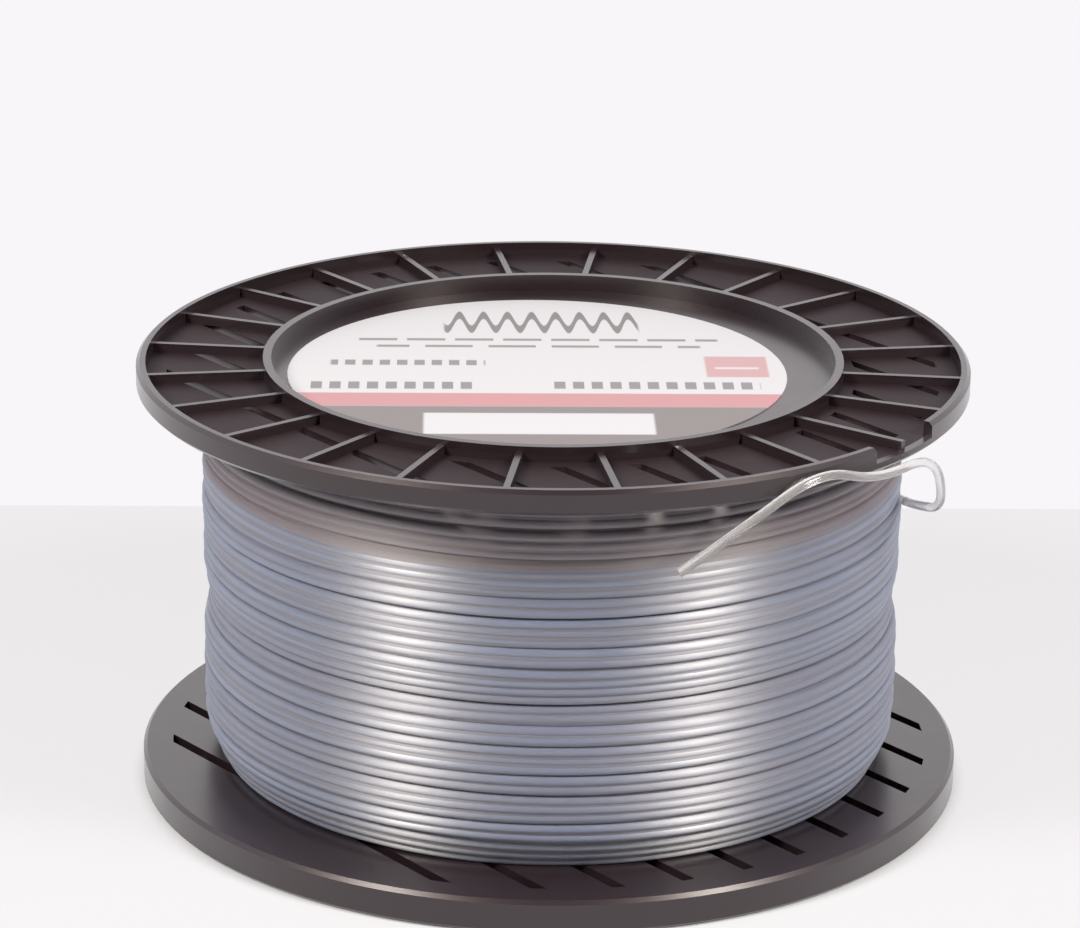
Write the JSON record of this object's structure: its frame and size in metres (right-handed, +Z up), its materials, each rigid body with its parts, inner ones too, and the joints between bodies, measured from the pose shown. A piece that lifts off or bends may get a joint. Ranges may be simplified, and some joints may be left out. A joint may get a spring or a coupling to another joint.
{
  "type": "spool of trimmer line",
  "caption": "Large black moulded spool with ribbed, slotted flanges, wound full of grey nylon trimmer line, its loose end lying along the top rim.",
  "frame": {"origin": "centre of the bounding box at its bottom, on the plane the base flange stands on", "axes": "+Z up along the spool's axis, -Y towards the viewer of the picture, +X to the picture's right"},
  "size_m": [0.22, 0.22, 0.117],
  "materials": {
    "spool_plastic": "smooth moulded, semi-gloss",
    "nylon_line": "translucent extruded nylon, semi-gloss",
    "label_print": "glossy printed label"
  },
  "bodies": {
    "root": {"spool": "spool_plastic", "line_winding": "nylon_line", "line_tail": "nylon_line", "label": "label_print"}
  },
  "joints": []
}
